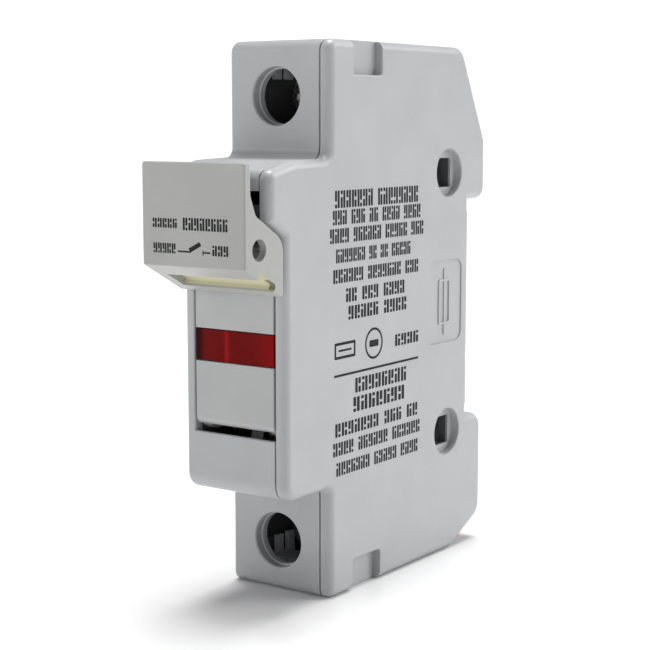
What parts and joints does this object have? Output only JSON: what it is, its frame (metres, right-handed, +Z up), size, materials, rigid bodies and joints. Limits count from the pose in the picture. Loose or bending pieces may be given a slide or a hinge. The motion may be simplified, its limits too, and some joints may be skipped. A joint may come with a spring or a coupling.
{
  "type": "cartridge fuse holder",
  "caption": "Rail-mounted cartridge fuse holder: split grey case, hinged fuse drawer with pull lever and red indicator window, screw terminals at both ends, sprung rail latch.",
  "frame": {"origin": "centre of the rail seat face, midway up the rail slot and on the mid-plane of the width", "axes": "+Y out of the rail seat towards the rail, +Z up along the height, +X to the right cover; the lever faces -Y"},
  "size_m": [0.018, 0.0637, 0.0808],
  "materials": {
    "housing": "fine satin moulded plastic, light cool grey",
    "carrier_plastic": "fine satin moulded plastic, light grey",
    "lever_plastic": "fine satin moulded plastic, slightly warmer grey",
    "red_lens": "clear glossy red",
    "red_plastic": "satin red moulded plastic",
    "ceramic_tube": "smooth white ceramic",
    "nickel_plate": "bright nickel plate",
    "silvered_copper": "silver-plated copper",
    "steel": "bright spring steel",
    "lamp_glass": "clear glass",
    "resistor_body": "glossy lacquer"
  },
  "bodies": {
    "housing": {"housing_left_shell": "housing", "housing_right_cover": "housing", "carrier_hinge_pin": "steel", "upper_contact": "silvered_copper", "lower_contact": "silvered_copper", "upper_jaw_spring": "steel", "lower_jaw_spring": "steel", "upper_screw_keeper": "nickel_plate", "lower_screw_keeper": "nickel_plate", "latch_spring": "steel"},
    "carrier": {"fuse_carrier": "carrier_plastic", "lever_handle": "lever_plastic", "indicator_lens": "red_lens", "indicator_lamp": "lamp_glass", "indicator_resistor": "resistor_body", "lamp_contact_upper": "nickel_plate", "lamp_contact_lower": "nickel_plate", "fuse_tube": "ceramic_tube", "fuse_cap_lower": "nickel_plate", "fuse_cap_upper": "nickel_plate", "fuse_element": "silvered_copper"},
    "upper_screw": {"upper_terminal_screw": "nickel_plate"},
    "lower_screw": {"lower_terminal_screw": "nickel_plate"},
    "upper_cage": {"upper_terminal_cage": "nickel_plate"},
    "lower_cage": {"lower_terminal_cage": "nickel_plate"},
    "latch": {"rail_latch": "red_plastic"}
  },
  "joints": [
    {"name": "carrier_hinge", "type": "hinge", "parent": "housing", "child": "carrier", "pos_m": [0, -0.0466, -0.0114], "axis": [1, 0, 0], "range_deg": [0, 70]},
    {"name": "upper_screw_turn", "type": "hinge", "parent": "housing", "child": "upper_screw", "pos_m": [-0.0006, -0.0298, 0.03385], "axis": [0, 1, 0], "range_deg": [0, 2251]},
    {"name": "upper_cage_slide", "type": "slide", "parent": "housing", "child": "upper_cage", "axis": [0, -1, 0], "range_m": [0, 0.005]},
    {"name": "lower_screw_turn", "type": "hinge", "parent": "housing", "child": "lower_screw", "pos_m": [-0.0006, -0.0298, -0.0315], "axis": [0, 1, 0], "range_deg": [0, 2251]},
    {"name": "lower_cage_slide", "type": "slide", "parent": "housing", "child": "lower_cage", "axis": [0, -1, 0], "range_m": [0, 0.005]},
    {"name": "latch_slide", "type": "slide", "parent": "housing", "child": "latch", "axis": [0, 0, -1], "range_m": [0, 0.003], "stiffness_N_per_m": 600, "springref_m": -0.002, "deforming": ["latch_spring"]}
  ],
  "couplings": [
    {"joint": "upper_screw_turn", "follows": "upper_cage_slide", "rad_per_m": 7854},
    {"joint": "lower_screw_turn", "follows": "lower_cage_slide", "rad_per_m": 7854}
  ]
}
